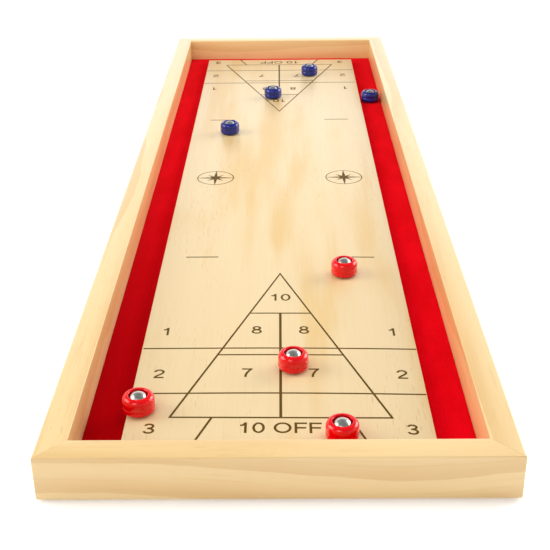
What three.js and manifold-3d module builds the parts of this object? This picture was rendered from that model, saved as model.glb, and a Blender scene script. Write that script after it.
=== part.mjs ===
// Table-top shuffleboard game: a mitred pine tray, a felt-lined floor, a raised play board
// and eight ball-bearing pucks. Millimetres, +Z up, +Y from the near end to the far end.
// The origin is at the centre of the footprint, on the surface that the feet stand on.
import * as THREE from 'three';
import { mergeVertices } from 'three/addons/utils/BufferGeometryUtils.js';
import Module from 'manifold-3d';

const wasm = await Module();
wasm.setup();

// ---------------------------------------------------------------- driving dimensions
const trayWidth = 350;
const trayLength = 1200;
const railWidth = 22;
const railHeight = 37;
const footThickness = 1.5;
const gutterWidth = 32.4;
const panelThickness = 3;
const feltThickness = 1;
const boardThickness = 6.5;
const ballRadius = 8.73;
const puckRadius = 13;

// ---------------------------------------------------------------- clearances
const looseFit = 0.25;
const glueLine = 0.1;
const ballLift = 0.02;

// ---------------------------------------------------------------- sizes worked out from these
const innerWidth = trayWidth - 2 * railWidth;
const innerLength = trayLength - 2 * railWidth;
const boardWidth = innerWidth - 2 * gutterWidth;
const boardLength = innerLength - 2 * gutterWidth;
const railBottom = footThickness;
const panelRecess = 1.5;
const panelBottom = railBottom + panelRecess;
const feltBottom = panelBottom + panelThickness;
const feltTop = feltBottom + feltThickness;
const boardTop = feltTop + boardThickness;

// ---------------------------------------------------------------- materials
function finish(color, roughness, metalness = 0) {
  return new THREE.MeshStandardMaterial({ color, roughness, metalness });
}
const pine = finish(0xecca93, 0.55);
const plywood = finish(0xd9b98a, 0.7);
const lacqueredMaple = finish(0xf5dcae, 0.28);
const redFelt = finish(0xc4000f, 0.95);
const blackRubber = finish(0x1b1b1b, 0.85);
const zincSteel = finish(0xb9bbb8, 0.4, 1);
const chromeSteel = finish(0xd8d8d6, 0.08, 1);
const redPlastic = finish(0xdd0a14, 0.22);
const bluePlastic = finish(0x1c2a8a, 0.22);

// ---------------------------------------------------------------- joining and cutting
function toManifold(geometry) {
  const bare = geometry.clone();
  bare.deleteAttribute('normal');
  bare.deleteAttribute('uv');
  const merged = mergeVertices(bare, 1e-4);
  return new wasm.Manifold(new wasm.Mesh({
    numProp: 3,
    vertProperties: new Float32Array(merged.attributes.position.array),
    triVerts: new Uint32Array(merged.index.array),
  }));
}

function toGeometry(manifold) {
  const mesh = manifold.getMesh();
  const geometry = new THREE.BufferGeometry();
  geometry.setAttribute('position', new THREE.BufferAttribute(new Float32Array(mesh.vertProperties), 3));
  geometry.setIndex(new THREE.BufferAttribute(new Uint32Array(mesh.triVerts), 1));
  geometry.computeVertexNormals();
  return geometry;
}

function cut(geometry, cutters) {
  let solid = toManifold(geometry);
  for (const cutter of cutters) {
    solid = solid.subtract(toManifold(cutter));
  }
  return toGeometry(solid);
}

// ---------------------------------------------------------------- the assembly
const game = new THREE.Group();

function add(name, geometry, material, [x, y, z] = [0, 0, 0]) {
  const piece = new THREE.Mesh(geometry, material);
  piece.name = name;
  piece.position.set(x, y, z);
  game.add(piece);
}

// A turned solid about Z from its profile, given as [radius, height] points
function turned(profile, sides) {
  const points = profile.map(([radius, height]) => new THREE.Vector2(radius, height));
  return new THREE.LatheGeometry(points, sides).rotateX(Math.PI / 2);
}

// Points along a quarter ellipse from the direction 'from' to the direction 'to', in quarter turns
function quarter([centreR, centreZ], [halfR, halfZ], from, to, steps) {
  const points = [];
  for (let i = 0; i <= steps; i += 1) {
    const angle = (Math.PI / 2) * (from + ((to - from) * i) / steps);
    points.push([centreR + halfR * Math.cos(angle), centreZ + halfZ * Math.sin(angle)]);
  }
  return points;
}

// ---------------------------------------------------------------- corner keys
// A V-shaped steel key, driven up into the underside of each mitre. The point of the V is on the
// mitre line and each leg runs into one rail.
const keyHeight = 8;
const keyLeg = 5;
const keyWall = 1;
const keyInset = 6;
const keyLift = 0.2;
const slotRunOut = 1;

function keyOutline(wall) {
  const half = wall / 2;
  const reach = keyLeg + half;
  const outline = new THREE.Shape();
  outline.moveTo(-wall, 0);
  outline.lineTo(reach, -reach - wall);
  outline.lineTo(reach + wall, -reach);
  outline.lineTo(wall, 0);
  outline.lineTo(reach + wall, reach);
  outline.lineTo(reach, reach + wall);
  outline.closePath();
  return outline;
}

function cornerKey(wall, height) {
  return new THREE.ExtrudeGeometry(keyOutline(wall), { depth: height, bevelEnabled: false });
}

function atCorner(geometry, sideX, sideY, bottom) {
  const towardsCentre = Math.atan2(-sideY, -sideX);
  const x = sideX * (trayWidth / 2 - keyInset);
  const y = sideY * (trayLength / 2 - keyInset);
  return geometry.rotateZ(towardsCentre).translate(x, y, bottom);
}

// ---------------------------------------------------------------- frame rails
// The rail's section: 'depth' runs inwards from the outer face and 'height' up from the underside.
const easedEdge = 1.5;
const easedSteps = 3;
const grooveDepth = 5.5;
const grooveLow = panelBottom - railBottom - looseFit;
const grooveHigh = grooveLow + panelThickness + 2 * looseFit;

function railSection() {
  const section = new THREE.Shape();
  section.moveTo(easedEdge, 0);
  section.lineTo(railWidth, 0);
  section.lineTo(railWidth, grooveLow);
  section.lineTo(railWidth - grooveDepth, grooveLow);
  section.lineTo(railWidth - grooveDepth, grooveHigh);
  section.lineTo(railWidth, grooveHigh);
  section.lineTo(railWidth, railHeight - easedEdge);
  section.absarc(railWidth - easedEdge, railHeight - easedEdge, easedEdge, 0, Math.PI / 2, false);
  section.lineTo(easedEdge, railHeight);
  section.absarc(easedEdge, railHeight - easedEdge, easedEdge, Math.PI / 2, Math.PI, false);
  section.lineTo(0, easedEdge);
  section.absarc(easedEdge, easedEdge, easedEdge, Math.PI, Math.PI * 1.5, false);
  return section;
}

// The section is drawn out along the rail, and each end is then slid back to its 45 degree mitre:
// a point that lies deeper from the outer face moves further in from the end.
function mitredRail(length) {
  const rail = new THREE.ExtrudeGeometry(railSection(), { depth: length, bevelEnabled: false, curveSegments: easedSteps });
  const place = rail.attributes.position;
  for (let i = 0; i < place.count; i += 1) {
    const setBack = place.getX(i) + glueLine;
    place.setZ(i, place.getZ(i) < length / 2 ? setBack : length - setBack);
  }
  return rail;
}

// Turned upright with its outer face on the near side, running along +X and centred
function uprightRail(length) {
  const rail = mitredRail(length);
  rail.rotateY(Math.PI / 2).rotateX(Math.PI / 2);
  rail.computeBoundingBox();
  const middle = rail.boundingBox.getCenter(new THREE.Vector3());
  return rail.translate(-middle.x, -middle.y, -middle.z);
}

function keySlots() {
  const slots = [];
  for (const sideX of [-1, 1]) {
    for (const sideY of [-1, 1]) {
      const slot = cornerKey(keyWall + 2 * looseFit, keyHeight + keyLift + looseFit + slotRunOut);
      slots.push(atCorner(slot, sideX, sideY, railBottom - slotRunOut));
    }
  }
  return slots;
}

function addRail(name, length, turn, x, y) {
  const rail = uprightRail(length).rotateZ(turn);
  rail.translate(x, y, railBottom + railHeight / 2);
  add(name, cut(rail, keySlots()), pine);
}

function addFrame() {
  const sideX = (trayWidth - railWidth) / 2;
  const endY = (trayLength - railWidth) / 2;
  addRail('near_rail', trayWidth, 0, 0, -endY);
  addRail('right_rail', trayLength, Math.PI / 2, sideX, 0);
  addRail('far_rail', trayWidth, Math.PI, 0, endY);
  addRail('left_rail', trayLength, -Math.PI / 2, -sideX, 0);
  const corners = { near_left: [-1, -1], near_right: [1, -1], far_left: [-1, 1], far_right: [1, 1] };
  for (const [corner, [x, y]] of Object.entries(corners)) {
    const key = cornerKey(keyWall, keyHeight);
    add(`corner_key_${corner}`, atCorner(key, x, y, railBottom + keyLift), zincSteel);
  }
}

// ---------------------------------------------------------------- board screws
// Driven up through the floor and the felt into the board. A profile grown by the clearance cuts the
// holes, and it runs out below the head so that the countersink is open underneath.
const screwShank = 1.5;
const screwHead = 3.4;
const headRim = 0.3;
const screwLength = 9;
const screwPoint = 1;
const screwSink = 0.2;
const recessWidth = 0.9;
const recessSpan = 3.4;
const recessDepth = 0.9;
const screwSides = 12;
const screwX = 85;
const screwRows = [-480, -160, 160, 480];

function screwPlaces() {
  const places = [];
  for (const y of screwRows) {
    for (const x of [-screwX, screwX]) {
      places.push([x, y]);
    }
  }
  return places;
}

function screwProfile(grow, runOut) {
  const cone = headRim + screwHead - screwShank;
  return [
    [0, -runOut],
    [screwHead + grow, -runOut],
    [screwHead + grow, headRim],
    [screwShank + grow, cone],
    [screwShank + grow, screwLength - screwPoint + grow],
    [0, screwLength + grow],
  ];
}

function boardScrew() {
  const along = new THREE.BoxGeometry(recessSpan, recessWidth, 2 * recessDepth);
  const across = new THREE.BoxGeometry(recessWidth, recessSpan, 2 * recessDepth);
  return cut(turned(screwProfile(0, 0), screwSides), [along, across]);
}

function screwHoles() {
  const bottom = panelBottom + screwSink;
  const profile = screwProfile(looseFit, 1);
  return screwPlaces().map(([x, y]) => turned(profile, screwSides).translate(x, y, bottom));
}

function addScrews() {
  screwPlaces().forEach(([x, y], i) => {
    add(`board_screw_${i + 1}`, boardScrew(), zincSteel, [x, y, panelBottom + screwSink]);
  });
}

// ---------------------------------------------------------------- floor, felt and play board
function slab(width, length, bottom, thickness) {
  return new THREE.BoxGeometry(width, length, thickness).translate(0, 0, bottom + thickness / 2);
}

function addFloor() {
  const intoGroove = 2 * (grooveDepth - 2 * looseFit);
  const panel = slab(innerWidth + intoGroove, innerLength + intoGroove, panelBottom, panelThickness);
  const felt = slab(innerWidth - 2 * looseFit, innerLength - 2 * looseFit, feltBottom, feltThickness);
  const board = slab(boardWidth, boardLength, feltTop, boardThickness);
  const holes = screwHoles();
  add('base_panel', cut(panel, holes), plywood);
  add('felt_lining', cut(felt, holes), redFelt);
  add('play_board', cut(board, holes), lacqueredMaple);
}

// ---------------------------------------------------------------- feet
const footRadius = 6;
const footTaper = 0.5;
const footSides = 20;
const footRows = { near: -560, middle: 0, far: 560 };

function addFeet() {
  const profile = [[0, 0], [footRadius - footTaper, 0], [footRadius, footThickness], [0, footThickness]];
  const footX = trayWidth / 2 - railWidth / 2;
  for (const [row, y] of Object.entries(footRows)) {
    add(`foot_${row}_left`, turned(profile, footSides), blackRubber, [-footX, y, 0]);
    add(`foot_${row}_right`, turned(profile, footSides), blackRubber, [footX, y, 0]);
  }
}

// ---------------------------------------------------------------- pucks
// A moulded housing with a steel ball that stands proud of it above and below. The ball turns in a
// seat under the mouth, and a snapped-in ring keeps it from dropping out. Heights are above the
// surface that the ball stands on.
const puckSides = 20;
const ballSides = 20;
const ballRows = 12;
const housingBottom = 0.8;
const housingTop = 16.2;
const lowRound = [2.7, 4];
const highRound = [4.2, 5.2];
const mouthRadius = 7.8;
const mouthBevel = 0.8;
const lipRadius = 7.7;
const seatRadius = ballRadius + looseFit;
const ringBore = 9.6;
const ringShoulder = 3.2;
const ringBottom = 1;
const ringTop = 3;
const ringMouth = 6.2;

// The radius of the ball's cross-section at a height above the surface it stands on
function ballRadiusAt(height) {
  return Math.sqrt(ballRadius ** 2 - (ballRadius - height) ** 2);
}

function puckHousing() {
  const lowCentre = [puckRadius - lowRound[0], housingBottom + lowRound[1]];
  const highCentre = [puckRadius - highRound[0], housingTop - highRound[1]];
  const lipTurn = Math.acos(lipRadius / seatRadius) / (Math.PI / 2);
  return turned([
    [ringBore, housingBottom],
    ...quarter(lowCentre, lowRound, -1, 0, 3),
    ...quarter(highCentre, highRound, 0, 1, 4),
    [mouthRadius + mouthBevel, housingTop],
    [mouthRadius, housingTop - mouthBevel],
    ...quarter([0, ballRadius], [seatRadius, seatRadius], lipTurn, 0, 2),
    [seatRadius, ringShoulder],
    [ringBore, ringShoulder],
    [ringBore, housingBottom],
  ], puckSides);
}

function retainerRing() {
  const outer = ringBore - looseFit;
  return turned([
    [ringMouth, ringBottom],
    [outer, ringBottom],
    [outer, ringTop],
    [ballRadiusAt(ringTop) + looseFit, ringTop],
    [ringMouth, ringBottom],
  ], puckSides);
}

function addPuck(name, plastic, x, y, surface) {
  const ball = new THREE.SphereGeometry(ballRadius, ballSides, ballRows).rotateX(Math.PI / 2);
  add(`${name}_housing`, puckHousing(), plastic, [x, y, surface]);
  add(`${name}_retainer`, retainerRing(), plastic, [x, y, surface]);
  add(`${name}_ball`, ball, chromeSteel, [x, y, surface + ballRadius + ballLift]);
}

// Where the pucks lie: five are scattered over the courts, one hangs over the board's left edge,
// one over its near end, and one has dropped into the right-hand gutter.
const redPucks = [[-111.3, -505], [48.5, -542.5], [12.2, -441.7], [64.9, -265]];
const bluePucks = [[-68.5, 167.5], [-10.5, 330], [47.5, 452.5]];
const gutterPuck = [136.2, 330];

function addPucks() {
  redPucks.forEach(([x, y], i) => addPuck(`red_puck_${i + 1}`, redPlastic, x, y, boardTop));
  bluePucks.forEach(([x, y], i) => addPuck(`blue_puck_${i + 1}`, bluePlastic, x, y, boardTop));
  addPuck('blue_puck_4', bluePlastic, gutterPuck[0], gutterPuck[1], feltTop);
}

addFrame();
addFloor();
addScrews();
addFeet();
addPucks();

export default game;
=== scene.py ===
"""Table-top shuffleboard game: the looks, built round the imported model.

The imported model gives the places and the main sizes. Lengths are in metres, in the model's own frame:
+X to the right, +Y from the near end to the far end, +Z up, with the origin under the middle of the tray.
"""

import math

import bmesh
import bpy
from mathutils import Matrix, Vector


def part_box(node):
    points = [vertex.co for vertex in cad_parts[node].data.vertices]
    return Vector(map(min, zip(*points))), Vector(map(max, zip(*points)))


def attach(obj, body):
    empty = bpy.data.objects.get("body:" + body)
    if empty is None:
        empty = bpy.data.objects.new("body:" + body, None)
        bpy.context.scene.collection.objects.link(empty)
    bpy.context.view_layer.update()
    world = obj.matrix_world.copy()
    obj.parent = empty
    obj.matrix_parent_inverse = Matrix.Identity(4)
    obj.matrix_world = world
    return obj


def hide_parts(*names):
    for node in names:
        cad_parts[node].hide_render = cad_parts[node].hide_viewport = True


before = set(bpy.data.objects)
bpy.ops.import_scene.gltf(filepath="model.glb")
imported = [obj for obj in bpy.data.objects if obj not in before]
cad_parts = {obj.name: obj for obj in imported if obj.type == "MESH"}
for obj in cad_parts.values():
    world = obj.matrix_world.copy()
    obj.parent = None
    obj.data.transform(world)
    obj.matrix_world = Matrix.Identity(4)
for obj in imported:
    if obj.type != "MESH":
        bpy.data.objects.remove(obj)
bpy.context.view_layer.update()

MM = 0.001
PUCKS = [f"{colour}_puck_{number}" for colour in ("red", "blue") for number in range(1, 5)]
CORNERS = {"near_left": (-1, -1), "near_right": (1, -1), "far_left": (-1, 1), "far_right": (1, 1)}

# ------------------------------------------------------------------ places taken from the frame
near_low, near_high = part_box("near_rail")
left_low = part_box("left_rail")[0]
board_low, board_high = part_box("play_board")
felt_low, felt_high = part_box("felt_lining")
panel_low, panel_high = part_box("base_panel")
rail_width = near_high.y - near_low.y
rail_bottom = near_low.z
rail_height = near_high.z - near_low.z
tray_half_x = -left_low.x
tray_half_y = -near_low.y
inner_half_x = tray_half_x - rail_width
inner_half_y = tray_half_y - rail_width


# ------------------------------------------------------------------ materials
class Surface:
    """A material's node tree, built a node at a time.

    An input is a number, a colour or another node's output.
    """

    def __init__(self, name, **constants):
        self.material = bpy.data.materials.new(name)
        self.material.use_nodes = True
        self.tree = self.material.node_tree
        self.shader = self.tree.nodes["Principled BSDF"]
        for socket, value in constants.items():
            self.shader.inputs[socket.replace("_", " ")].default_value = value

    def node(self, kind, inputs=(), **settings):
        made = self.tree.nodes.new("ShaderNode" + kind)
        for setting, value in settings.items():
            setattr(made, setting, value)
        for socket, value in dict(inputs).items():
            self.feed(made.inputs[socket], value)
        return made

    def feed(self, socket, value):
        if isinstance(value, bpy.types.NodeSocket):
            self.tree.links.new(value, socket)
        else:
            socket.default_value = value

    def math(self, operation, *values):
        return self.node("Math", enumerate(values), operation=operation).outputs[0]

    def noise(self, place, scale, detail=3.0, roughness=0.5):
        inputs = {"Vector": place, "Scale": scale, "Detail": detail, "Roughness": roughness}
        return self.node("TexNoise", inputs).outputs["Fac"]

    def stretched_noise(self, place, scale, shift=(0.0, 0.0, 0.0), detail=3.0, roughness=0.5):
        """Noise with its own scale along each axis."""
        moved = self.node("Mapping", {"Vector": place, "Scale": scale, "Location": shift})
        return self.noise(moved.outputs["Vector"], 1.0, detail, roughness)

    def scaled(self, value, share):
        return self.math("MULTIPLY", value, share)

    def grain(self):
        """The mesh's own 'grain' places, which move with it."""
        return self.node("Attribute", attribute_name="grain").outputs["Vector"]

    def ramp(self, value, low, high, to_low=0.0, to_high=1.0):
        inputs = {"Value": value, "From Min": low, "From Max": high, "To Min": to_low, "To Max": to_high}
        return self.node("MapRange", inputs, interpolation_type="SMOOTHSTEP").outputs["Result"]

    def mix(self, share, first, second):
        made = self.node("Mix", data_type="RGBA", clamp_factor=True)
        self.feed(made.inputs[0], share)
        self.feed(made.inputs[6], first)
        self.feed(made.inputs[7], second)
        return made.outputs[2]

    def bump(self, height, strength, distance):
        inputs = {"Height": height, "Strength": strength, "Distance": distance}
        self.feed(self.shader.inputs["Normal"], self.node("Bump", inputs).outputs["Normal"])

    def colour(self, value):
        self.feed(self.shader.inputs["Base Color"], value)

    def roughness(self, value):
        self.feed(self.shader.inputs["Roughness"], value)


def rgb(red, green, blue):
    return (red, green, blue, 1.0)


# How finely each figure of the wood repeats per metre: along, across and through the plank.
RING_DRIFT = (2.2, 9.0, 9.0)
RING_WAVER = (11.0, 90.0, 90.0)
PATCHES = (3.0, 22.0, 22.0)
FIBRES = (16.0, 800.0, 800.0)
LINES = (7.0, 230.0, 230.0)
FLECKS = (60.0, 850.0, 850.0)
FLECK_CROWDS = (4.0, 14.0, 14.0)
DRIFT_SHARE = 1.5
WAVER_SHARE = 0.28
FIBRE_SHARE = 0.10


def ring_strength(surface, grain, ring_gap):
    """Late-wood bands: wandering rings round the tree's centre line, each dark on its outer side."""
    drift = surface.stretched_noise(grain, RING_DRIFT, detail=2.0)
    waver = surface.stretched_noise(grain, RING_WAVER, (3.0, 1.0, 5.0))
    apart = surface.node("SeparateXYZ", {"Vector": grain})
    wander = surface.scaled(surface.math("SUBTRACT", drift, 0.5), DRIFT_SHARE * ring_gap)
    tremble = surface.scaled(surface.math("SUBTRACT", waver, 0.5), WAVER_SHARE * ring_gap)
    across = surface.math("POWER", surface.math("ADD", apart.outputs["Y"], wander), 2.0)
    through = surface.math("POWER", apart.outputs["Z"], 2.0)
    distance = surface.math("SQRT", surface.math("ADD", across, through))
    ring = surface.math("FRACT", surface.math("DIVIDE", surface.math("ADD", distance, tremble), ring_gap))
    return surface.math("MULTIPLY", surface.ramp(ring, 0.20, 0.93), surface.ramp(ring, 1.0, 0.96))


def wood(name, pale, late, streak, ring_gap, ring_share, blotch_share, line_share, fleck_share, **constants):
    """Sawn softwood. Each mesh's 'grain' holds metres along, across and through its plank."""
    surface = Surface(name, **constants)
    grain = surface.grain()
    patch = surface.stretched_noise(grain, PATCHES, (1.0, 7.0, 2.0))
    fibre = surface.stretched_noise(grain, FIBRES, roughness=0.6)
    line = surface.stretched_noise(grain, LINES, (2.0, 6.0, 4.0))
    fleck = surface.stretched_noise(grain, FLECKS, detail=1.0)
    crowd = surface.stretched_noise(grain, FLECK_CROWDS, (5.0, 2.0, 9.0), detail=2.0)
    flecks = surface.math("MULTIPLY", surface.ramp(fleck, 0.64, 0.74), surface.ramp(crowd, 0.42, 0.62))
    bands = ring_strength(surface, grain, ring_gap)
    rings = surface.math("MULTIPLY", bands, surface.ramp(patch, 0.30, 0.60, 0.35, 1.0))
    base = surface.mix(surface.scaled(rings, ring_share), pale, late)
    base = surface.mix(surface.scaled(surface.ramp(patch, 0.48, 0.72), blotch_share), base, streak)
    base = surface.mix(surface.scaled(surface.ramp(line, 0.55, 0.72), line_share), base, late)
    base = surface.mix(surface.scaled(surface.ramp(fibre, 0.45, 0.75), FIBRE_SHARE), base, late)
    base = surface.mix(surface.scaled(flecks, fleck_share), base, late)
    surface.colour(base)
    surface.roughness(surface.ramp(fibre, 0.3, 0.7, 0.42, 0.52))
    surface.bump(fibre, 0.10, 0.0004)
    return surface.material


def pine():
    return wood(
        "pine", rgb(0.765, 0.548, 0.254), rgb(0.600, 0.345, 0.105), rgb(0.735, 0.455, 0.165),
        ring_gap=0.0268, ring_share=0.62, blotch_share=0.35, line_share=0.22, fleck_share=0.50,
        Coat_Weight=1.00, Coat_Roughness=0.24,
    )


def lacquered_board():
    return wood(
        "lacquered_board", rgb(0.715, 0.558, 0.318), rgb(0.580, 0.345, 0.130), rgb(0.655, 0.430, 0.148),
        ring_gap=0.034, ring_share=0.06, blotch_share=0.85, line_share=0.08, fleck_share=0.75,
        Coat_Weight=0.60, Coat_Roughness=0.30,
    )


def plywood():
    return wood(
        "plywood", rgb(0.640, 0.450, 0.250), rgb(0.480, 0.300, 0.140), rgb(0.560, 0.370, 0.180),
        ring_gap=0.030, ring_share=0.45, blotch_share=0.40, line_share=0.30, fleck_share=0.50,
    )


def red_felt():
    """Short-napped felt: brushed patches, a fine mat of fibres and a faint red sheen.

    The near end of the left gutter is painted darker: painted shade, standing in for the left rail's shadow
    there.
    """
    surface = Surface(
        "red_felt", Specular_IOR_Level=0.0,
        Sheen_Weight=0.25, Sheen_Roughness=0.35, Sheen_Tint=rgb(1.0, 0.12, 0.12),
    )
    place = surface.grain()
    apart = surface.node("SeparateXYZ", {"Vector": place})
    nap = surface.ramp(surface.stretched_noise(place, (16.0, 40.0, 1.0), roughness=0.6), 0.3, 0.7)
    mat = surface.noise(place, 1500.0, 3.0, 0.7)
    tuft = surface.noise(place, 330.0, 2.0, 0.6)
    bright_fibres = surface.scaled(surface.ramp(mat, 0.5, 0.7), 0.35)
    dark_tufts = surface.scaled(surface.ramp(tuft, 0.55, 0.75), 0.25)
    # Painted shade: a mask for the near end of the left gutter, where the left rail's shadow falls.
    painted_shade_near_end = surface.ramp(apart.outputs["X"], 0.15, -0.55)
    painted_shade_left_side = surface.ramp(apart.outputs["Y"], -0.10, 0.10)
    base = surface.mix(nap, rgb(0.600, 0.0005, 0.0040), rgb(0.700, 0.0012, 0.0080))
    base = surface.mix(bright_fibres, base, rgb(0.80, 0.008, 0.012))
    base = surface.mix(dark_tufts, base, rgb(0.46, 0.0, 0.003))
    # Painted shade: the left gutter's near end is darkened, standing in for the left rail's shadow.
    base = surface.mix(surface.math("MULTIPLY", painted_shade_near_end, painted_shade_left_side), base, rgb(0.36, 0.0003, 0.0025))
    surface.colour(base)
    surface.roughness(0.95)
    surface.bump(surface.math("ADD", mat, tuft), 0.6, 0.0004)
    return surface.material


def moulded_plastic(name, body, worn):
    """Glossy moulded plastic with faint flow marks and handling wear in the gloss."""
    surface = Surface(name, Coat_Weight=0.60, Coat_Roughness=0.10, Specular_IOR_Level=0.12)
    place = surface.grain()
    flow = surface.stretched_noise(place, (60.0, 60.0, 260.0), detail=2.0)
    marks = surface.scaled(surface.ramp(flow, 0.35, 0.75), 0.3)
    wear = surface.stretched_noise(place, (900.0, 900.0, 120.0), detail=2.0, roughness=0.7)
    scuff = surface.ramp(wear, 0.60, 0.80)
    surface.colour(surface.mix(marks, body, worn))
    surface.roughness(surface.math("ADD", surface.scaled(scuff, 0.06), 0.17))
    surface.bump(surface.noise(place, 420.0, 2.0), 0.03, 0.0002)
    return surface.material


def chrome_steel():
    surface = Surface("chrome_steel", Metallic=1.0)
    haze = surface.noise(surface.grain(), 700.0, 3.0, 0.6)
    dull, bright = rgb(0.56, 0.58, 0.53), rgb(0.66, 0.67, 0.62)
    surface.colour(surface.mix(surface.ramp(haze, 0.3, 0.7), dull, bright))
    surface.roughness(surface.ramp(haze, 0.3, 0.8, 0.27, 0.34))
    return surface.material


def zinc_steel():
    surface = Surface("zinc_steel", Metallic=1.0)
    place = surface.node("TexCoord").outputs["Object"]
    spangle = surface.noise(place, 900.0, 3.0, 0.6)
    surface.colour(surface.mix(spangle, rgb(0.50, 0.51, 0.50), rgb(0.72, 0.73, 0.70)))
    surface.roughness(surface.ramp(spangle, 0.2, 0.8, 0.28, 0.45))
    surface.bump(spangle, 0.1, 0.0002)
    return surface.material


def black_rubber():
    surface = Surface("black_rubber")
    place = surface.node("TexCoord").outputs["Object"]
    grit = surface.noise(place, 1200.0, 3.0, 0.6)
    surface.colour(surface.mix(grit, rgb(0.012, 0.012, 0.012), rgb(0.040, 0.038, 0.036)))
    surface.roughness(surface.ramp(grit, 0.2, 0.8, 0.65, 0.85))
    surface.bump(grit, 0.3, 0.0002)
    return surface.material


def court_ink():
    """Screen-printed brown ink, a little uneven over the wood, under a thin lacquer."""
    surface = Surface("court_ink", Coat_Weight=0.30, Coat_Roughness=0.30, Specular_IOR_Level=0.0)
    place = surface.node("TexCoord").outputs["Object"]
    cover = surface.stretched_noise(place, (900.0, 120.0, 1.0), roughness=0.7)
    full, thin = rgb(0.098, 0.052, 0.003), rgb(0.150, 0.086, 0.012)
    surface.colour(surface.mix(surface.ramp(cover, 0.55, 0.85), full, thin))
    surface.roughness(surface.ramp(cover, 0.2, 0.8, 0.42, 0.55))
    return surface.material


MATERIALS = {
    "pine": pine(),
    "lacquered_board": lacquered_board(),
    "plywood": plywood(),
    "red_felt": red_felt(),
    "red_plastic": moulded_plastic("red_plastic", rgb(0.720, 0.0010, 0.0030), rgb(0.780, 0.0030, 0.0060)),
    "blue_plastic": moulded_plastic("blue_plastic", rgb(0.008, 0.014, 0.165), rgb(0.013, 0.024, 0.235)),
    "chrome_steel": chrome_steel(),
    "zinc_steel": zinc_steel(),
    "black_rubber": black_rubber(),
    "court_ink": court_ink(),
}


# ------------------------------------------------------------------ mesh helpers
def shade(data, smooth_angle):
    data.shade_smooth()
    data.set_sharp_from_angle(angle=math.radians(smooth_angle))


def new_piece(name, mesh, slot, smooth_angle=None):
    """An object for a finished bmesh, with its material. Edges under smooth_angle degrees look smooth."""
    bmesh.ops.recalc_face_normals(mesh, faces=mesh.faces)
    data = bpy.data.meshes.new(name)
    mesh.to_mesh(data)
    mesh.free()
    if smooth_angle is not None:
        shade(data, smooth_angle)
    data.materials.append(MATERIALS[slot])
    piece = bpy.data.objects.new(name, data)
    bpy.context.scene.collection.objects.link(piece)
    return piece


def finish_piece(piece, body, slot, *nodes):
    """The piece rides on its body and stands for its CAD nodes, which are hidden; the slot argument is not
    used.
    """
    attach(piece, body)
    if nodes:
        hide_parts(*nodes)


def set_grain(piece, turn=0.0, middle=(0.0, 0.0, 0.0), pith=(0.0, 0.0, 0.0), bow=(0.0, 1.0, 0.0)):
    """Where each point is in its plank: along, across and through, measured from the tree's centre line.

    The bow (place along, length, depth) bends that line, which turns straight grain into long arches.
    """
    back = Matrix.Rotation(-turn, 3, "Z")
    values = []
    for vertex in piece.data.vertices:
        point = back @ (vertex.co - Vector(middle))
        bend = bow[2] / (1.0 + ((point.x - bow[0]) / bow[1]) ** 2)
        values.extend(point + Vector(pith) + Vector((0.0, 0.0, bend)))
    attribute = piece.data.attributes.new("grain", "FLOAT_VECTOR", "POINT")
    attribute.data.foreach_set("vector", values)


def quarter_arc(centre, half_x, half_y, start, steps):
    """Points of a quarter ellipse that turns anticlockwise from 'start' degrees."""
    points = []
    for i in range(steps + 1):
        angle = math.radians(start + 90 * i / steps)
        points.append((centre[0] + half_x * math.cos(angle), centre[1] + half_y * math.sin(angle)))
    return points


def lathe(profile, sides, centre=(0.0, 0.0, 0.0)):
    """A solid turned about Z. The profile is a list of (radius, height); a radius of 0 closes on the axis."""
    mesh = bmesh.new()
    rings = []
    for radius, height in profile:
        if radius == 0.0:
            rings.append([mesh.verts.new((centre[0], centre[1], centre[2] + height))] * sides)
            continue
        ring = []
        for i in range(sides):
            angle = 2 * math.pi * i / sides
            x = centre[0] + radius * math.cos(angle)
            y = centre[1] + radius * math.sin(angle)
            ring.append(mesh.verts.new((x, y, centre[2] + height)))
        rings.append(ring)
    pairs = list(zip(rings, rings[1:]))
    if profile[0][0] > 0.0 and profile[-1][0] > 0.0:
        pairs.append((rings[-1], rings[0]))
    for lower, upper in pairs:
        for i in range(sides):
            k = (i + 1) % sides
            corners = dict.fromkeys((lower[i], lower[k], upper[k], upper[i]))
            if len(corners) > 2:
                mesh.faces.new(list(corners))
    return mesh


def prism(outline, bottom, top):
    """An upright solid over a flat outline of (x, y) points."""
    mesh = bmesh.new()
    lower = [mesh.verts.new((x, y, bottom)) for x, y in outline]
    upper = [mesh.verts.new((x, y, top)) for x, y in outline]
    mesh.faces.new(lower)
    mesh.faces.new(upper)
    for i in range(len(outline)):
        k = (i + 1) % len(outline)
        mesh.faces.new((lower[i], lower[k], upper[k], upper[i]))
    return mesh


def combine(target, tools, operation):
    """Cuts the tools out of the target, or joins them to it, and removes them."""
    group = bpy.data.collections.new("tools")
    bpy.context.scene.collection.children.link(group)
    for tool in tools:
        bpy.context.scene.collection.objects.unlink(tool)
        group.objects.link(tool)
    modifier = target.modifiers.new("combine", "BOOLEAN")
    modifier.operation = operation
    modifier.solver = "EXACT"
    modifier.operand_type = "COLLECTION"
    modifier.collection = group
    bpy.context.view_layer.update()
    graph = bpy.context.evaluated_depsgraph_get()
    made = bpy.data.meshes.new_from_object(target.evaluated_get(graph))
    target.modifiers.clear()
    target.data = made
    for tool in tools:
        bpy.data.objects.remove(tool)
    bpy.data.collections.remove(group)


def tool_from(mesh):
    return new_piece("tool", mesh, "pine")


CUT_PAST = 1.0 * MM  # how far a cutter reaches past the faces that it cuts


def set_cad_material(node, slot):
    """Gives a CAD piece that stays in the picture its own finish."""
    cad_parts[node].data.materials.clear()
    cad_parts[node].data.materials.append(MATERIALS[slot])


# ------------------------------------------------------------------ corner keys' slots in the rails
KEY_WALL = 1.5 * MM
KEY_LEG = 5.0 * MM
KEY_INSET = 6.0 * MM
KEY_HEADROOM = 0.3 * MM


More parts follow.
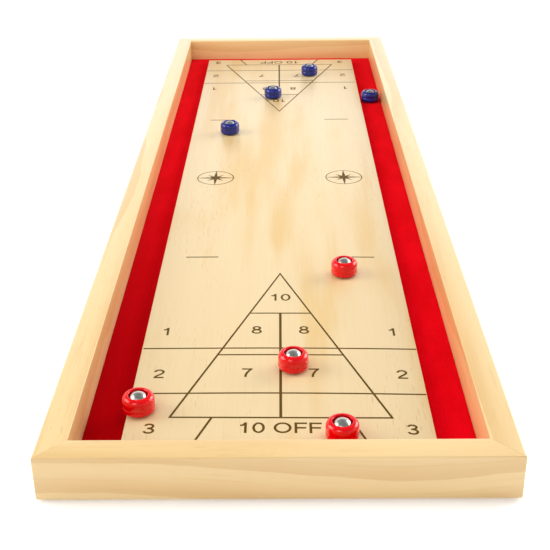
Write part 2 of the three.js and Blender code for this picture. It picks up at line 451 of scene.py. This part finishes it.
def key_slot(side_x, side_y):
    """A V-shaped slot in the underside of a mitre, a little wider than the steel key in it."""
    slot_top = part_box("corner_key_near_left")[1].z + KEY_HEADROOM
    half = KEY_WALL / 2
    reach = KEY_LEG + half
    outline = [
        (-KEY_WALL, 0.0), (reach, -reach - KEY_WALL), (reach + KEY_WALL, -reach),
        (KEY_WALL, 0.0), (reach + KEY_WALL, reach), (reach, reach + KEY_WALL),
    ]
    mesh = prism(outline, rail_bottom - CUT_PAST, slot_top)
    turn = math.atan2(-side_y, -side_x)
    corner = Vector((side_x * (tray_half_x - KEY_INSET), side_y * (tray_half_y - KEY_INSET), 0.0))
    mesh.transform(Matrix.Translation(corner) @ Matrix.Rotation(turn, 4, "Z"))
    return mesh


# ------------------------------------------------------------------ frame rails
ARRIS = 1.1 * MM
ARRIS_STEPS = 6
RAIL_STATIONS = 64
GLUE_LINE = 0.1 * MM
GROOVE_GAP = 0.25 * MM


def rail_section():
    """The rail's outline as (depth from the outer face, height): round arrises and the floor's groove."""
    groove_depth = panel_high.x - inner_half_x + 2 * GROOVE_GAP
    groove_low = panel_low.z - rail_bottom - GROOVE_GAP
    groove_high = panel_high.z - rail_bottom + GROOVE_GAP
    inner_top = quarter_arc((rail_width - ARRIS, rail_height - ARRIS), ARRIS, ARRIS, 0, ARRIS_STEPS)
    outer_top = quarter_arc((ARRIS, rail_height - ARRIS), ARRIS, ARRIS, 90, ARRIS_STEPS)
    outer_bottom = quarter_arc((ARRIS, ARRIS), ARRIS, ARRIS, 180, ARRIS_STEPS)
    return [
        (rail_width, 0.0), (rail_width, groove_low), (rail_width - groove_depth, groove_low),
        (rail_width - groove_depth, groove_high), (rail_width, groove_high),
        *inner_top, *outer_top, *outer_bottom,
    ]


def mitred_rail(half_length):
    """A rail along X with its outer face towards -Y. Each end runs back at 45 degrees."""
    mesh = bmesh.new()
    stations = []
    for i in range(RAIL_STATIONS + 1):
        share = 2 * i / RAIL_STATIONS - 1
        ring = []
        for depth, height in rail_section():
            ring.append(mesh.verts.new((share * (half_length - depth - GLUE_LINE), depth, height)))
        stations.append(ring)
    mesh.faces.new(stations[0])
    mesh.faces.new(stations[-1])
    count = len(stations[0])
    for one, other in zip(stations, stations[1:]):
        for i in range(count):
            k = (i + 1) % count
            mesh.faces.new((one[i], one[k], other[k], other[i]))
    return mesh


def make_rail(name, half_length, half_across, turn, pith, bow, keys):
    """A rail turned to its own side of the tray, with the slots of its two corner keys."""
    mesh = mitred_rail(half_length)
    placed = Matrix.Rotation(turn, 4, "Z") @ Matrix.Translation((0.0, -half_across, rail_bottom))
    mesh.transform(placed)
    rail = new_piece(f"{name}_wood", mesh, "pine")
    combine(rail, [tool_from(key_slot(*CORNERS[key])) for key in keys], "DIFFERENCE")
    shade(rail.data, 20)
    middle = Matrix.Rotation(turn, 3, "Z") @ Vector((0.0, -half_across, rail_bottom))
    set_grain(rail, turn, middle, pith, bow)
    finish_piece(rail, "table", "pine", name)


def make_frame():
    """The four rails. Each has its own place in the tree and its own bow, so no two show the same grain."""
    long, wide = tray_half_y, tray_half_x
    make_rail(
        "near_rail", wide, long, 0.0,
        pith=(0.0, 0.02, -0.250), bow=(0.085, 0.120, 0.021), keys=("near_left", "near_right"),
    )
    make_rail(
        "far_rail", wide, long, math.pi,
        pith=(3.1, 0.01, -0.187), bow=(0.060, 0.100, 0.012), keys=("far_left", "far_right"),
    )
    make_rail(
        "right_rail", long, wide, math.pi / 2,
        pith=(5.3, 0.05, -0.090), bow=(-0.30, 0.35, 0.03), keys=("near_right", "far_right"),
    )
    make_rail(
        "left_rail", long, wide, -math.pi / 2,
        pith=(8.2, 0.06, -0.100), bow=(0.20, 0.50, 0.02), keys=("near_left", "far_left"),
    )
    for corner in CORNERS:
        set_cad_material(f"corner_key_{corner}", "zinc_steel")


# ------------------------------------------------------------------ screws from below
SCREW_SIDES = 40
SCREW_LENGTH = 9.0 * MM
HEAD_RADIUS = 3.4 * MM
HEAD_RIM = 0.28 * MM
HEAD_HEIGHT = 2.2 * MM
NECK_RADIUS = 1.5 * MM
RECESS_WIDTH = 0.9 * MM
RECESS_SPAN = 3.6 * MM
RECESS_DEPTH = 1.1 * MM
RECESS_TAPER = (0.45, 0.7)
RECESS_TURN = 0.4
HOLE_RADIUS = 1.75 * MM
HOLE_SIDES = 24
PILOT_DEPTH = 9.3 * MM


def screw_places():
    """The eight screws' centres and undersides, from their CAD nodes."""
    places = {}
    for number in range(1, 9):
        low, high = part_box(f"board_screw_{number}")
        middle = (low + high) / 2
        places[number] = Vector((middle.x, middle.y, low.z))
    return places


def screw_profile():
    """A countersunk head with a soft rim, a plain neck and a blunt point."""
    return [
        (0.0, 0.0),
        (HEAD_RADIUS - 0.3 * MM, 0.0),
        (HEAD_RADIUS - 0.05 * MM, 0.1 * MM),
        (HEAD_RADIUS, HEAD_RIM),
        (NECK_RADIUS, HEAD_HEIGHT),
        (NECK_RADIUS - 0.05 * MM, SCREW_LENGTH - 1.1 * MM),
        (NECK_RADIUS - 0.5 * MM, SCREW_LENGTH - 0.4 * MM),
        (0.0, SCREW_LENGTH),
    ]


def cross_recess(centre):
    """Two tapered blades that meet in a cross."""
    blades = []
    for along in (0.0, math.pi / 2):
        mesh = bmesh.new()
        bmesh.ops.create_cube(mesh, size=1.0)
        mesh.transform(Matrix.Diagonal((RECESS_SPAN, RECESS_WIDTH, 2 * RECESS_DEPTH, 1.0)))
        for vertex in mesh.verts:
            if vertex.co.z > 0:
                vertex.co.x *= RECESS_TAPER[0]
                vertex.co.y *= RECESS_TAPER[1]
        mesh.transform(Matrix.Translation(centre) @ Matrix.Rotation(along + RECESS_TURN, 4, "Z"))
        blades.append(tool_from(mesh))
    return blades


def make_screws():
    for number, place in screw_places().items():
        screw = new_piece(f"screw_{number}", lathe(screw_profile(), SCREW_SIDES, place), "zinc_steel")
        combine(screw, cross_recess(place), "DIFFERENCE")
        shade(screw.data, 30)
        finish_piece(screw, "table", "zinc_steel", f"board_screw_{number}")


def screw_holes(low, high):
    """Cutters for the screws' clearance holes between two heights."""
    profile = [(0.0, low), (HOLE_RADIUS, low), (HOLE_RADIUS, high), (0.0, high)]
    holes = []
    for place in screw_places().values():
        holes.append(tool_from(lathe(profile, HOLE_SIDES, (place.x, place.y, 0.0))))
    return holes


# ------------------------------------------------------------------ felt
FELT_STEP = 4 * MM
FELT_DIP = 0.35 * MM
RIPPLE_FADE = 6 * MM
# Each wave of the felt's slack: radians per metre along the tray and across it, and where it starts.
SLOW_WAVES = ((31.0, 14.0, 0.0), (9.0, 57.0, 1.3))
QUICK_WAVES = ((83.0, -61.0, 0.6), (23.0, 0.0, 0.4))


def crossed_waves(x, y, waves):
    return math.prod(math.sin(along * y + across * x + start) for along, across, start in waves)


def felt_ripple(x, y):
    """How far the felt's top lies below its full thickness: slack in the gutters, flat under the board."""
    outside = max(abs(x) - board_high.x, abs(y) - board_high.y)
    if outside <= 0.0:
        return 0.0
    waves = crossed_waves(x, y, SLOW_WAVES) + 0.5 * crossed_waves(x, y, QUICK_WAVES)
    fade = min(1.0, outside / RIPPLE_FADE)
    return -FELT_DIP * fade * (0.55 + 0.3 * waves)


def felt_mesh():
    """One closed sheet: a rippled top over a flat underside."""
    across = round((felt_high.x - felt_low.x) / FELT_STEP)
    along = round((felt_high.y - felt_low.y) / FELT_STEP)
    mesh = bmesh.new()
    layers = []
    for top in (False, True):
        rows = []
        for j in range(along + 1):
            y = felt_low.y + (felt_high.y - felt_low.y) * j / along
            row = []
            for i in range(across + 1):
                x = felt_low.x + (felt_high.x - felt_low.x) * i / across
                z = felt_high.z + felt_ripple(x, y) if top else felt_low.z
                row.append(mesh.verts.new((x, y, z)))
            rows.append(row)
        layers.append(rows)
        for j in range(along):
            for i in range(across):
                mesh.faces.new((rows[j][i], rows[j][i + 1], rows[j + 1][i + 1], rows[j + 1][i]))
    under, over = layers
    rims = [
        ([row[0] for row in under], [row[0] for row in over]),
        ([row[-1] for row in under], [row[-1] for row in over]),
        (under[0], over[0]),
        (under[-1], over[-1]),
    ]
    for low_rim, high_rim in rims:
        for i in range(len(low_rim) - 1):
            mesh.faces.new((low_rim[i], low_rim[i + 1], high_rim[i + 1], high_rim[i]))
    return mesh


def make_felt():
    felt = new_piece("felt_sheet", felt_mesh(), "red_felt")
    combine(felt, screw_holes(felt_low.z - CUT_PAST, felt_high.z + CUT_PAST), "DIFFERENCE")
    shade(felt.data, 50)
    set_grain(felt, math.pi / 2)
    finish_piece(felt, "table", "red_felt", "felt_lining")


# ------------------------------------------------------------------ play board
BOARD_ARRIS = 0.5 * MM
BOARD_PITH = (0.4, 0.09, 0.012)
PANEL_PITH = (1.7, 0.15, 0.03)


def make_board():
    """The raised board, with softened edges and blind pilot holes for the screws."""
    mesh = bmesh.new()
    bmesh.ops.create_cube(mesh, size=1.0)
    size = board_high - board_low
    middle = (board_high + board_low) / 2
    mesh.transform(Matrix.Translation(middle) @ Matrix.Diagonal((size.x, size.y, size.z, 1.0)))
    bmesh.ops.bevel(mesh, geom=mesh.edges[:], offset=BOARD_ARRIS, segments=4, profile=0.5, affect="EDGES")
    board = new_piece("board_top", mesh, "lacquered_board")
    hole_top = screw_places()[1].z + PILOT_DEPTH
    combine(board, screw_holes(board_low.z - CUT_PAST, hole_top), "DIFFERENCE")
    shade(board.data, 25)
    set_grain(board, math.pi / 2, (0.0, 0.0, board_low.z), BOARD_PITH)
    finish_piece(board, "table", "lacquered_board", "play_board")


def finish_floor_panel():
    """The plywood floor keeps its CAD shape; its grain runs along the tray."""
    set_cad_material("base_panel", "plywood")
    set_grain(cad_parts["base_panel"], math.pi / 2, (0.0, 0.0, panel_low.z), PANEL_PITH)


# ------------------------------------------------------------------ printed courts
# A court's distances are measured from the outer face of the tray's end.
INK_THICK = 0.05 * MM
LINE_WIDTH = 1.9 * MM
CENTRE_WIDTH = 2.3 * MM
TRIANGLE_HALF = 87.8 * MM
TRIANGLE_BASE = 85.2 * MM
TRIANGLE_TIP = 336.0 * MM
TEN_LINE = 254.2 * MM
EIGHT_LINE = 179.6 * MM
ONE_LINE = 190.8 * MM
TWO_LINE = 119.3 * MM
FOUL_LINE = 375.2 * MM
FOUL_SPAN = (64.1 * MM, 97.7 * MM)
SIDE_LINE = (54.3 * MM, 65.5 * MM)
PRINT_TURN = math.radians(0.17)
ROW_LIFT = 1.2 * MM
DROOP_START = -60 * MM
DROOP = 0.13  # a row's droop is this times the square of its way past DROOP_START, in metres
LINE_PARTS = 12
NUMBER_HEIGHT = 13.4 * MM
STROKE = 0.147
CURVE_STEPS = 28


def arc(centre_x, centre_y, half_x, half_y, start, end):
    """Points along an ellipse from one angle to another, in degrees, anticlockwise if end is larger."""
    steps = max(3, round(CURVE_STEPS * abs(end - start) / 180))
    points = []
    for i in range(steps + 1):
        angle = math.radians(start + (end - start) * i / steps)
        points.append((centre_x + half_x * math.cos(angle), centre_y + half_y * math.sin(angle)))
    return points


# Each figure is its width and a list of strokes, in a box one unit high: (points, whether it closes)
FIGURES = {
    "0": (0.85, [(arc(0.425, 0.5, 0.275, 0.43, 0, 360)[:-1], True)]),
    "1": (0.62, [
        ([(0.32, 0.0), (0.32, 1.0)], False),
        ([(0.02, 0.725), (0.13, 0.735), (0.21, 0.775), (0.265, 0.85), (0.29, 0.95)], False),
    ]),
    "2": (0.72, [
        ([
            *arc(0.345, 0.70, 0.265, 0.23, 178, -40),
            (0.44, 0.44), (0.27, 0.30), (0.16, 0.19), (0.11, 0.05),
        ], False),
        ([(0.04, 0.068), (0.67, 0.068)], False),
    ]),
    "3": (0.72, [
        (arc(0.335, 0.735, 0.235, 0.195, 170, -90), False),
        (arc(0.335, 0.285, 0.265, 0.217, 90, -170), False),
        ([(0.24, 0.52), (0.345, 0.52)], False),
    ]),
    "7": (0.72, [
        ([(0.03, 0.93), (0.69, 0.93)], False),
        ([(0.63, 0.92), (0.47, 0.72), (0.35, 0.48), (0.28, 0.24), (0.26, 0.0)], False),
    ]),
    "8": (0.72, [
        (arc(0.36, 0.745, 0.225, 0.19, 0, 360)[:-1], True),
        (arc(0.36, 0.288, 0.275, 0.22, 0, 360)[:-1], True),
    ]),
    "O": (1.125, [(arc(0.5625, 0.5, 0.4225, 0.43, 0, 360)[:-1], True)]),
    "F": (0.82, [
        ([(0.17, 0.0), (0.17, 1.0)], False),
        ([(0.17, 0.93), (0.79, 0.93)], False),
        ([(0.17, 0.50), (0.74, 0.50)], False),
    ]),
    " ": (0.34, []),
}


def stroke_outline(points, width, closed):
    """The two edges of a stroke of even width along its points: (left edge, right edge)."""
    left, right = [], []
    count = len(points)
    for i, point in enumerate(points):
        here = Vector(point)
        before = Vector(points[(i - 1) % count]) if closed or i > 0 else here
        after = Vector(points[(i + 1) % count]) if closed or i < count - 1 else here
        into = (here - before).normalized() if before != here else (after - here).normalized()
        out = (after - here).normalized() if after != here else into
        across = Vector((-(into + out).y, (into + out).x)).normalized()
        reach = width / 2 / max(0.4, across.dot(Vector((-out.y, out.x))))
        left.append(here + across * reach)
        right.append(here - across * reach)
    return left, right


def stroke_prism(points, width, closed, place):
    """A thin slab of ink along a stroke. place() turns a flat point into one on the board."""
    left, right = stroke_outline(points, width, closed)
    low, high = board_high.z - INK_THICK, board_high.z + INK_THICK
    if not closed:
        return prism([place(p) for p in left + right[::-1]], low, high)
    mesh = bmesh.new()
    rings = []
    for edge in (left, right):
        for height in (low, high):
            rings.append([mesh.verts.new((*place(p), height)) for p in edge])
    left_low, left_top, right_low, right_top = rings
    around = [left_low, left_top, right_top, right_low, left_low]
    for first, second in zip(around, around[1:]):
        for i in range(len(points)):
            k = (i + 1) % len(points)
            mesh.faces.new((first[i], first[k], second[k], second[i]))
    return mesh


def ink_piece(name, prisms):
    """Joins a court's separate strokes of ink into one piece on the board."""
    ink = new_piece(name, prisms[0], "court_ink")
    combine(ink, [new_piece("tool", mesh, "court_ink") for mesh in prisms[1:]], "UNION")
    finish_piece(ink, "table", "court_ink")
    return ink


def court_place(far):
    """Turns (x, distance from the court's own end) into a point on the board.

    The far court is the near one turned half round.
    The screen was laid a touch askew on the board, so the whole print is turned by PRINT_TURN. The near
    court's rows also droop towards the near end on their right.
    """
    side = -1.0 if far else 1.0
    turn = Matrix.Rotation(PRINT_TURN, 2)

    def place(point):
        pull = 0.0 if far else ROW_LIFT - DROOP * max(0.0, point[0] - DROOP_START) ** 2
        return tuple(turn @ Vector((side * point[0], side * (point[1] + pull - tray_half_y))))

    return place


def triangle_half_width(distance):
    return TRIANGLE_HALF * (TRIANGLE_TIP - distance) / (TRIANGLE_TIP - TRIANGLE_BASE)


def court_lines():
    """Every straight line of one court, as pairs of end points."""
    board_half = board_high.x
    board_end = tray_half_y - board_high.y
    near_tip = triangle_half_width(TEN_LINE)
    near_eight = triangle_half_width(EIGHT_LINE)
    lines = [
        [(-near_tip, TEN_LINE), (near_tip, TEN_LINE)],
        [(-near_eight, EIGHT_LINE), (near_eight, EIGHT_LINE)],
        [(-board_half, ONE_LINE), (board_half, ONE_LINE)],
        [(-board_half, TWO_LINE), (board_half, TWO_LINE)],
    ]
    for side in (-1, 1):
        lines.append([(side * SIDE_LINE[0], TRIANGLE_BASE), (side * SIDE_LINE[1], board_end)])
        lines.append([(side * FOUL_SPAN[0], FOUL_LINE), (side * FOUL_SPAN[1], FOUL_LINE)])
    return lines


def split_line(line):
    """The same line with points between its ends, so that it can follow the print's droop."""
    (x1, y1), (x2, y2) = line
    points = []
    for i in range(LINE_PARTS + 1):
        points.append((x1 + (x2 - x1) * i / LINE_PARTS, y1 + (y2 - y1) * i / LINE_PARTS))
    return points


def make_court_lines(far):
    place = court_place(far)
    triangle = [(-TRIANGLE_HALF, TRIANGLE_BASE), (TRIANGLE_HALF, TRIANGLE_BASE), (0.0, TRIANGLE_TIP)]
    prisms = [stroke_prism(triangle, LINE_WIDTH, True, place)]
    for line in court_lines():
        prisms.append(stroke_prism(split_line(line), LINE_WIDTH, False, place))
    prisms.append(stroke_prism([(0.0, TRIANGLE_BASE), (0.0, TEN_LINE)], CENTRE_WIDTH, False, place))
    ink = ink_piece("court_lines_far" if far else "court_lines_near", prisms)
    edge_x, edge_y = board_high.x - BOARD_ARRIS, board_high.y - BOARD_ARRIS
    face = [(-edge_x, -edge_y), (edge_x, -edge_y), (edge_x, edge_y), (-edge_x, edge_y)]
    combine(ink, [tool_from(prism(face, board_high.z - CUT_PAST, board_high.z + CUT_PAST))], "INTERSECT")


def figure_prisms(text, height, centre, place):
    """The strokes of a short text, centred on a point of the court."""
    total = sum(FIGURES[letter][0] for letter in text)
    cursor = -total / 2
    prisms = []
    for letter in text:
        width, strokes = FIGURES[letter]
        for points, closed in strokes:
            moved = []
            for x, y in points:
                moved.append((centre[0] + (cursor + x) * height, centre[1] + (y - 0.5) * height))
            prisms.append(stroke_prism(moved, STROKE * height, closed, place))
        cursor += width
    return prisms


def court_texts():
    """Every number on one court with its height and centre."""
    texts = [
        ("10", NUMBER_HEIGHT, (1.0 * MM, 285.6 * MM)),
        ("10 OFF", 1.05 * NUMBER_HEIGHT, (0.2 * MM, 70.6 * MM)),
    ]
    for side in (-1, 1):
        texts.append(("8", NUMBER_HEIGHT, (side * 21.4 * MM, 222.8 * MM)))
        texts.append(("7", NUMBER_HEIGHT, (side * 28.3 * MM, 150.4 * MM)))
        texts.append(("1", NUMBER_HEIGHT, (side * 102.0 * MM, 220.6 * MM)))
        texts.append(("2", NUMBER_HEIGHT, (side * 102.5 * MM, 149.3 * MM)))
        texts.append(("3", NUMBER_HEIGHT, (side * 102.3 * MM, 70.0 * MM)))
    return texts


def make_court_numbers(far):
    place = court_place(far)
    prisms = []
    for text, height, centre in court_texts():
        prisms.extend(figure_prisms(text, height, centre, place))
    ink_piece("court_numbers_far" if far else "court_numbers_near", prisms)


# ------------------------------------------------------------------ mid-board ornament
ORNAMENT_X = 79 * MM
ORNAMENT_RADIUS = 22 * MM
ORNAMENT_LINE = 1.1 * MM
# The tips and waists of each star's four rays, as shares of the ring's radius.
LONG_RAYS = (1.12, 0.15)
SHORT_RAYS = (0.62, 0.14)


def star_outline(rays, turn):
    """A star of four rays, the first of them at 'turn' radians."""
    outline = []
    for i in range(8):
        radius = ORNAMENT_RADIUS * rays[i % 2]
        angle = turn + math.pi * i / 4
        outline.append((radius * math.cos(angle), radius * math.sin(angle)))
    return outline


def make_ornament(side):
    """A plain compass star in a ring, on one side of the board's middle."""

    def place(point):
        return (side * ORNAMENT_X + point[0], point[1])

    ring = arc(0.0, 0.0, ORNAMENT_RADIUS, ORNAMENT_RADIUS, 0, 360)[:-1]
    low, high = board_high.z - INK_THICK, board_high.z + INK_THICK
    prisms = [stroke_prism(ring, ORNAMENT_LINE, True, place)]
    for rays, turn in ((LONG_RAYS, math.pi / 2), (SHORT_RAYS, math.pi / 4)):
        prisms.append(prism([place(p) for p in star_outline(rays, turn)], low, high))
    ink_piece("ornament_right" if side > 0 else "ornament_left", prisms)


def make_courts():
    for far in (False, True):
        make_court_lines(far)
        make_court_numbers(far)
    for side in (-1, 1):
        make_ornament(side)


# ------------------------------------------------------------------ feet
FOOT_SIDES = 48


def foot_profile(radius, thick):
    """A disc whose lower edge is rounded over half its thickness."""
    edge = quarter_arc((radius - thick / 2, thick / 2), thick / 2, thick / 2, 270, 6)
    return [(0.0, 0.0), *edge, (radius, thick), (0.0, thick)]


def make_feet():
    """Thin rubber discs under the side rails."""
    for row in ("near", "middle", "far"):
        for side in ("left", "right"):
            low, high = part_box(f"foot_{row}_{side}")
            centre = ((low.x + high.x) / 2, (low.y + high.y) / 2, low.z)
            mesh = lathe(foot_profile((high.x - low.x) / 2, high.z - low.z), FOOT_SIDES, centre)
            foot = new_piece(f"rubber_{row}_{side}", mesh, "black_rubber", 40)
            finish_piece(foot, "table", "black_rubber", f"foot_{row}_{side}")


# ------------------------------------------------------------------ pucks
PUCK_SIDES = 96
HOUSING_BOTTOM = 0.8 * MM
HOUSING_TOP = 16.2 * MM
LOW_ROUND = (2.7 * MM, 4.0 * MM)
HIGH_ROUND = (4.2 * MM, 5.2 * MM)
BALL_GAP = 0.25 * MM
MOUTH_RADIUS = 7.8 * MM
MOUTH_ROUND = 0.8 * MM
LIP_RADIUS = 7.7 * MM
RING_BORE = 9.6 * MM
RING_SHOULDER = 3.2 * MM
RING_BOTTOM = 1.0 * MM
RING_TOP = 3.0 * MM
RING_MOUTH = 6.2 * MM
RING_EDGE = 0.25 * MM
SEAM_SHARE = 0.42
SEAM_WIDTH = 0.12 * MM
SEAM_DEPTH = 0.05 * MM
SEAT_STEPS = 12


def housing_profile(radius, ball_radius):
    """The turned housing: rounded outside with a fine moulding seam, and the ball's seat inside."""
    low_centre = (radius - LOW_ROUND[0], HOUSING_BOTTOM + LOW_ROUND[1])
    high_centre = (radius - HIGH_ROUND[0], HOUSING_TOP - HIGH_ROUND[1])
    seat = ball_radius + BALL_GAP
    seam_height = HOUSING_BOTTOM + SEAM_SHARE * (HOUSING_TOP - HOUSING_BOTTOM)
    seam = [
        (radius, seam_height - SEAM_WIDTH), (radius - SEAM_DEPTH, seam_height - SEAM_WIDTH / 2),
        (radius - SEAM_DEPTH, seam_height + SEAM_WIDTH / 2), (radius, seam_height + SEAM_WIDTH),
    ]
    mouth_centre = (MOUTH_RADIUS + MOUTH_ROUND, HOUSING_TOP - MOUTH_ROUND)
    mouth = quarter_arc(mouth_centre, MOUTH_ROUND, MOUTH_ROUND, 90, 6)
    lip_angle = math.acos(LIP_RADIUS / seat)
    seat_arc = []
    for i in range(SEAT_STEPS + 1):
        angle = lip_angle * (1 - i / SEAT_STEPS)
        seat_arc.append((seat * math.cos(angle), ball_radius + seat * math.sin(angle)))
    return [
        (RING_BORE, HOUSING_BOTTOM),
        *quarter_arc(low_centre, *LOW_ROUND, 270, 12),
        *seam,
        *quarter_arc(high_centre, *HIGH_ROUND, 0, 16),
        *mouth,
        *seat_arc,
        (seat, RING_SHOULDER),
        (RING_BORE, RING_SHOULDER),
    ]


def ring_profile(ball_radius):
    """The snap-in ring that keeps the ball from falling out, with broken edges."""
    outer = RING_BORE - BALL_GAP
    top_mouth = math.sqrt(ball_radius ** 2 - (ball_radius - RING_TOP) ** 2) + BALL_GAP
    return [
        (RING_MOUTH, RING_BOTTOM + RING_EDGE), (RING_MOUTH + RING_EDGE, RING_BOTTOM),
        (outer - RING_EDGE, RING_BOTTOM), (outer, RING_BOTTOM + RING_EDGE),
        (outer, RING_TOP - RING_EDGE), (outer - RING_EDGE, RING_TOP),
        (top_mouth + RING_EDGE, RING_TOP), (top_mouth, RING_TOP - RING_EDGE),
    ]


def make_puck(name):
    """One puck: its housing and retainer ring ride on the puck, and its steel ball on the puck's bearing."""
    plastic = f"{name.split('_')[0]}_plastic"
    low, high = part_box(f"{name}_housing")
    ball_low, ball_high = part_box(f"{name}_ball")
    ball_middle = (ball_low + ball_high) / 2
    ball_radius = (ball_high.z - ball_low.z) / 2
    ground = (ball_middle.x, ball_middle.y, low.z - HOUSING_BOTTOM)

    mesh = lathe(housing_profile((high.x - low.x) / 2, ball_radius), PUCK_SIDES, ground)
    housing = new_piece(f"{name}_shell", mesh, plastic, 42)
    set_grain(housing)
    finish_piece(housing, name, plastic, f"{name}_housing")

    mesh = lathe(ring_profile(ball_radius), PUCK_SIDES, ground)
    ring = new_piece(f"{name}_ring", mesh, plastic, 30)
    set_grain(ring)
    finish_piece(ring, name, plastic, f"{name}_retainer")

    mesh = bmesh.new()
    bmesh.ops.create_icosphere(mesh, subdivisions=5, radius=ball_radius)
    mesh.transform(Matrix.Translation(ball_middle))
    ball = new_piece(f"{name}_steel_ball", mesh, "chrome_steel", 60)
    set_grain(ball)
    finish_piece(ball, f"{name}_bearing", "chrome_steel", f"{name}_ball")


# ------------------------------------------------------------------ camera, floor and light
CAMERA_PLACE = (0.0048, -1.1912, 0.4816)
CAMERA_PITCH = 26.837
CAMERA_YAW = -0.567
CAMERA_ROLL = -0.579
CAMERA_LENS = 67.67
FLOOR_HALF = 8.0


def make_camera():
    data = bpy.data.cameras.new("camera")
    data.lens = CAMERA_LENS
    data.sensor_width = 36.0
    data.clip_start = 0.01
    data.clip_end = 60.0
    camera = bpy.data.objects.new("camera", data)
    bpy.context.scene.collection.objects.link(camera)
    pitch = Matrix.Rotation(math.radians(90 - CAMERA_PITCH), 4, "X")
    yaw = Matrix.Rotation(math.radians(-CAMERA_YAW), 4, "Z")
    roll = Matrix.Rotation(math.radians(CAMERA_ROLL), 4, "Z")
    camera.matrix_world = Matrix.Translation(CAMERA_PLACE) @ yaw @ pitch @ roll
    bpy.context.scene.camera = camera


def make_floor():
    surface = Surface(
        "floor", Roughness=0.9, Specular_IOR_Level=0.1,
        Emission_Color=rgb(1.0, 1.0, 1.0), Emission_Strength=0.20,
    )
    place = surface.node("TexCoord").outputs["Object"]
    faint = surface.noise(place, 3.0, 2.0)
    surface.colour(surface.mix(faint, rgb(0.93, 0.93, 0.93), rgb(0.95, 0.95, 0.95)))
    mesh = bmesh.new()
    bmesh.ops.create_grid(mesh, x_segments=2, y_segments=2, size=FLOOR_HALF)
    data = bpy.data.meshes.new("floor")
    mesh.to_mesh(data)
    mesh.free()
    data.materials.append(surface.material)
    floor = bpy.data.objects.new("floor", data)
    bpy.context.scene.collection.objects.link(floor)


def area_light(name, place, target, size, power, colour, mirrored=True):
    """A rectangular light. One that isn't mirrored lights the object but doesn't show in its reflections."""
    data = bpy.data.lights.new(name, "AREA")
    data.shape = "RECTANGLE"
    data.size, data.size_y = size
    data.energy = power
    data.color = colour
    light = bpy.data.objects.new(name, data)
    bpy.context.scene.collection.objects.link(light)
    light.visible_glossy = mirrored
    light.location = place
    light.rotation_euler = (Vector(target) - Vector(place)).to_track_quat("-Z", "Y").to_euler()


def make_world():
    """A studio's surround: bright low down behind and on the right, dim overhead and behind the camera."""
    world = bpy.data.worlds.new("studio")
    bpy.context.scene.world = world
    world.use_nodes = True
    nodes, links = world.node_tree.nodes, world.node_tree.links
    place = nodes.new("ShaderNodeTexCoord")
    apart = nodes.new("ShaderNodeSeparateXYZ")
    links.new(place.outputs["Generated"], apart.inputs[0])

    def level(axis, low, high, to_low, to_high):
        made = nodes.new("ShaderNodeMapRange")
        ends = {"From Min": low, "From Max": high, "To Min": to_low, "To Max": to_high}
        for socket, value in ends.items():
            made.inputs[socket].default_value = value
        links.new(apart.outputs[axis], made.inputs["Value"])
        return made.outputs["Result"]

    def math_node(operation, first, second):
        made = nodes.new("ShaderNodeMath")
        made.operation = operation
        links.new(first, made.inputs[0])
        links.new(second, made.inputs[1])
        return made.outputs[0]

    around = math_node("ADD", level("Y", -1.0, 1.0, 0.36, 1.15), level("X", -1.0, 1.0, 0.10, 0.60))
    strength = math_node("MULTIPLY", around, level("Z", 0.30, 0.56, 1.0, 0.22))
    links.new(strength, nodes["Background"].inputs["Strength"])
    nodes["Background"].inputs["Color"].default_value = rgb(1.0, 1.0, 1.0)


def make_lights():
    make_world()
    warm, plain, middle = (1.0, 0.985, 0.96), (1.0, 1.0, 1.0), (0.0, 0.0, 0.0)
    area_light("key", (-2.1, -0.2, 1.0), middle, (1.5, 1.6), 41.0, warm)
    area_light("front_left", (-1.3, -3.0, 2.3), middle, (1.6, 1.6), 31.0, warm)
    area_light("far_right", (2.1, 0.9, 0.95), middle, (1.7, 1.4), 46.0, plain)
    area_light("overhead", (0.0, -0.1, 2.1), (0.0, 0.1, 0.0), (2.2, 1.0), 23.0, plain, mirrored=False)
    scene = bpy.context.scene
    scene.view_settings.view_transform = "Standard"
    scene.view_settings.look = "None"
    scene.view_settings.exposure = 0.0


make_camera()
make_frame()
make_screws()
make_felt()
make_board()
finish_floor_panel()
make_courts()
make_feet()
for puck in PUCKS:
    make_puck(puck)
make_floor()
make_lights()
